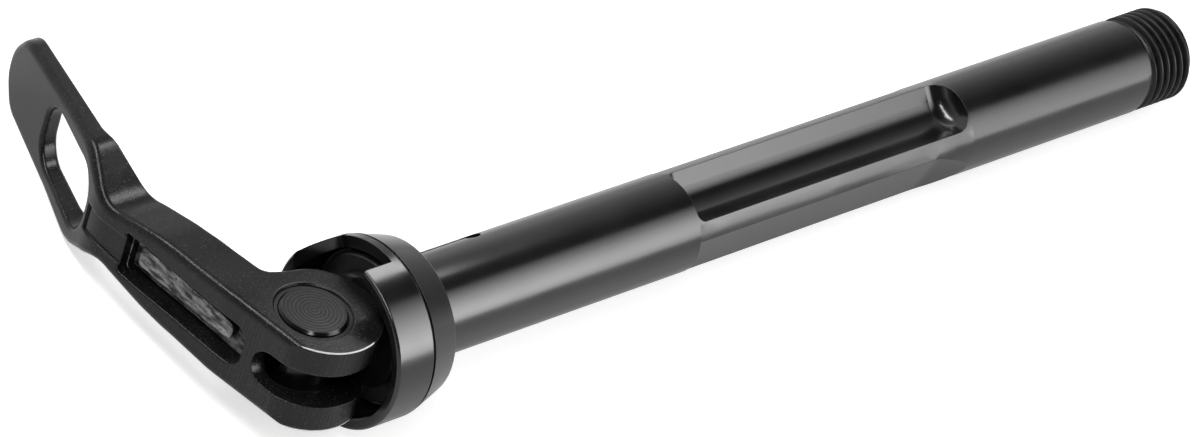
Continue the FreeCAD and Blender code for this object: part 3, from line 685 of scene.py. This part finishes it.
softboxes = {
    # Stands beside the tube, on the side that faces the lens, and leans over it
    "frontBox": {
        "place": (0.95, -1.00, 0.60),
        "aim": (0.06, 0.0, 0.0),
        "size": (0.95, 1.45),
        "radiance": 11.4,
        "top": 0.12,                       # share of the radiance left at the top edge of its cloth
        "far": 0.26,                       # and at the end that the threads mirror
        "topRamp": (0.25, 0.95),
        "farRamp": (0.12, 0.37),
        "skew": 0.8,                       # the far ramp leans by this much
    },
    # Hangs close behind the head and picks out the lever's waist
    "overBox": {
        "place": (0.065, 0.041, 0.126),
        "aim": (-0.026, 0.036, 0.006),
        "size": (0.045, 0.045),
        "radiance": 10.8,
    },
    # Runs along Y over the lever, where only rounded edges mirror it
    "edgeStrip": {
        "place": (-0.26, 0.06, 0.70),
        "aim": (-0.02, 0.02, 0.0),
        "size": (1.20, 0.12),
        "radiance": 17.0,
    },
}

dome = {
    "horizon": (1.1, 1.1, 1.1),
    "zenith": (0.055, 0.055, 0.055),
    "seen": (1.0, 1.0, 1.0),               # what the lens sees past the floor's far edge
    "lowRamp": (0.02, 0.30),               # the horizon's light fades out between these heights
    "behind": (0.75, -0.66),               # and behind the object, along this slope in Y and Z
    "behindRamp": (-0.55, 0.55),
}


def restingPlane(points):
    # Height a, slope b along X and slope c along Y of the plane z = a + bx + cy that the part lies on
    collarX, collarRadius = points["collar"]
    threadX, endRadius = points["thread"]
    padX, padY, padZ = points["pad"]
    a, b, c = 0.0, 0.0, 0.0
    for _ in range(40):
        lean = math.sqrt(1 + c * c)
        b = (collarRadius - endRadius) * lean / (threadX - collarX)
        a = -collarRadius * lean - b * collarX
        c = (padZ - a - b * padX) / padY
    return a, b, c


def makeFloor(settings):
    a, b, c = restingPlane(restingPoints)
    half = settings["side"] / 2
    corners = []
    for x, y in ((-half, -half), (half, -half), (half, half), (-half, half)):
        corners.append((x, y, a + b * x + c * y))
    mesh = bpy.data.meshes.new("studioFloor")
    mesh.from_pydata(corners, [], [(0, 1, 2, 3)])
    floor = bpy.data.objects.new("studioFloor", mesh)
    bpy.context.collection.objects.link(floor)
    material, tree, shader = newMaterial("floorPaper")
    shader.inputs["Roughness"].default_value = settings["roughness"]
    shader.inputs["Specular IOR Level"].default_value = 0.0
    shader.inputs["Base Color"].default_value = (*settings["colour"], 1)
    # The paper glows a little for the lens and in reflections, so that it reads as white
    rays = tree.nodes.new("ShaderNodeLightPath")
    inGloss = timesAll(tree, rays.outputs["Is Glossy Ray"], settings["glowInGloss"])
    glow = mathNode(tree, "MULTIPLY_ADD", rays.outputs["Is Camera Ray"], settings["glowForLens"], inGloss)
    shader.inputs["Emission Color"].default_value = (1, 1, 1, 1)
    tree.links.new(glow, shader.inputs["Emission Strength"])
    mesh.materials.append(material)


def shadeCloth(data, settings):
    # The cloth is darker towards its top edge and its far end
    data.use_nodes = True
    tree = data.node_tree
    glow = next(node for node in tree.nodes if node.type == "EMISSION")
    surface = tree.nodes.new("ShaderNodeNewGeometry")
    across, upward, _ = splitVector(tree, surface.outputs["Parametric"])
    top = rampValue(tree, upward, *settings["topRamp"], 1.0, settings["top"])
    skewed = mathNode(tree, "SUBTRACT", across, timesAll(tree, upward, settings["skew"]))
    far = rampValue(tree, skewed, *settings["farRamp"], 1.0, settings["far"])
    tree.links.new(timesAll(tree, top, far), glow.inputs["Strength"])


def makeSoftbox(name, settings):
    data = bpy.data.lights.new(name, "AREA")
    data.shape = "RECTANGLE"
    data.size, data.size_y = settings["size"]
    data.energy = settings["radiance"] * math.pi * data.size * data.size_y
    if "top" in settings:
        shadeCloth(data, settings)
    light = bpy.data.objects.new(name, data)
    light.location = settings["place"]
    aim = Vector(settings["aim"]) - Vector(settings["place"])
    light.rotation_euler = aim.to_track_quat("-Z", "Y").to_euler()
    light.visible_camera = False
    bpy.context.collection.objects.link(light)


def makeDome(settings):
    world = bpy.data.worlds.new("studioDome")
    world.use_nodes = True
    tree = world.node_tree
    back = next(node for node in tree.nodes if node.type == "BACKGROUND")
    coords = tree.nodes.new("ShaderNodeTexCoord")
    _, alongY, upward = splitVector(tree, coords.outputs["Generated"])
    low = rampValue(tree, upward, *settings["lowRamp"], 1.0, 0.0)
    shareY, shareZ = settings["behind"]
    behind = addAll(tree, timesAll(tree, alongY, shareY), timesAll(tree, upward, shareZ))
    side = rampValue(tree, behind, *settings["behindRamp"], 0.0, 1.0)
    share = mathNode(tree, "MAXIMUM", low, side)
    colour = rampBetween(tree, share, 0.0, 1.0, settings["zenith"], settings["horizon"])
    rays = tree.nodes.new("ShaderNodeLightPath")
    colour = mixColours(tree, rays.outputs["Is Camera Ray"], colour, settings["seen"])
    tree.links.new(colour, back.inputs["Color"])
    bpy.context.scene.world = world


makeFloor(floorPaper)
for name, box in softboxes.items():
    makeSoftbox(name, box)
makeDome(dome)
bpy.context.scene.view_settings.view_transform = "Standard"
print("studio lit")
